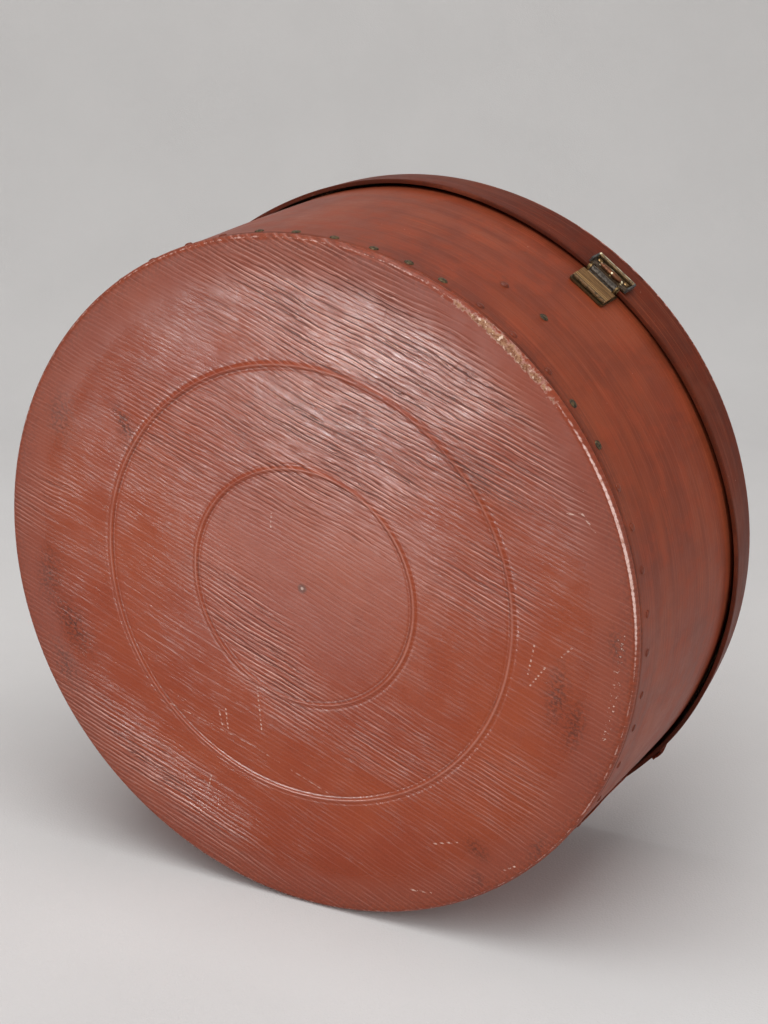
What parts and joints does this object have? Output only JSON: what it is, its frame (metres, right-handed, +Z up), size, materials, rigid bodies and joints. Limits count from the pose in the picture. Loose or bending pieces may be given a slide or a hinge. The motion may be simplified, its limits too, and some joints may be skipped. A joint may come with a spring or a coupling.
{
  "type": "hatbox",
  "caption": "Large round hatbox in red ribbed leathercloth, with a deep hinged lid, a front clasp, nailed base and a carrying handle.",
  "frame": {"origin": "centre of the base, on the plane that the box stands on", "axes": "+Z up through the centre of the lid, -Y towards the clasp, +Y towards the hinge"},
  "size_m": [0.4721, 0.4796, 0.2106],
  "materials": {
    "red_cloth": "ribbed coated cloth, worn satin",
    "lining_paper": "plain lining, matt",
    "fibre_board": "raw board, matt",
    "bent_wood": "bare wood",
    "dark_leather": "aged, satin",
    "old_brass": "dark, tarnished",
    "dark_iron": "dull nail heads"
  },
  "bodies": {
    "box": {"base_cover": "red_cloth", "base_lining": "lining_paper", "base_panel": "fibre_board", "base_ring": "bent_wood", "clasp_pin": "old_brass", "clasp_plate": "old_brass", "clasp_rivet_left": "old_brass", "clasp_rivet_right": "old_brass", "hinge_leaf_lower": "old_brass", "hinge_pin": "old_brass", "lower_rivet_left": "old_brass", "lower_rivet_right": "old_brass", "wall_cover": "red_cloth", "wall_hoop": "fibre_board", "wall_lap": "red_cloth", "wall_lining": "lining_paper", "wall_nail_front": "dark_iron", "wall_nail_side": "dark_iron"},
    "lid": {"clasp_keeper": "old_brass", "handle_loop_left": "old_brass", "handle_loop_right": "old_brass", "hinge_leaf_upper": "old_brass", "keeper_rivet_left": "old_brass", "keeper_rivet_right": "old_brass", "lid_cover": "red_cloth", "lid_hoop": "fibre_board", "lid_lining": "lining_paper", "lid_panel": "fibre_board", "skirt_cover": "red_cloth", "skirt_lap": "dark_leather", "upper_rivet_left": "old_brass", "upper_rivet_right": "old_brass"},
    "lever": {"clasp_lever": "old_brass"},
    "handle": {"handle_grip": "dark_leather"}
  },
  "joints": [
    {"name": "lid_open", "type": "hinge", "parent": "box", "child": "lid", "pos_m": [0, 0.2377, 0.149], "axis": [-1, 0, 0], "range_deg": [0, 105]},
    {"name": "lever_lift", "type": "hinge", "parent": "box", "child": "lever", "pos_m": [0, -0.2359, 0.1462], "axis": [-1, 0, 0], "range_deg": [0, 85]},
    {"name": "handle_swing", "type": "hinge", "parent": "lid", "child": "handle", "pos_m": [0, 0, 0.2045], "axis": [-1, 0, 0], "range_deg": [0, 180]}
  ]
}
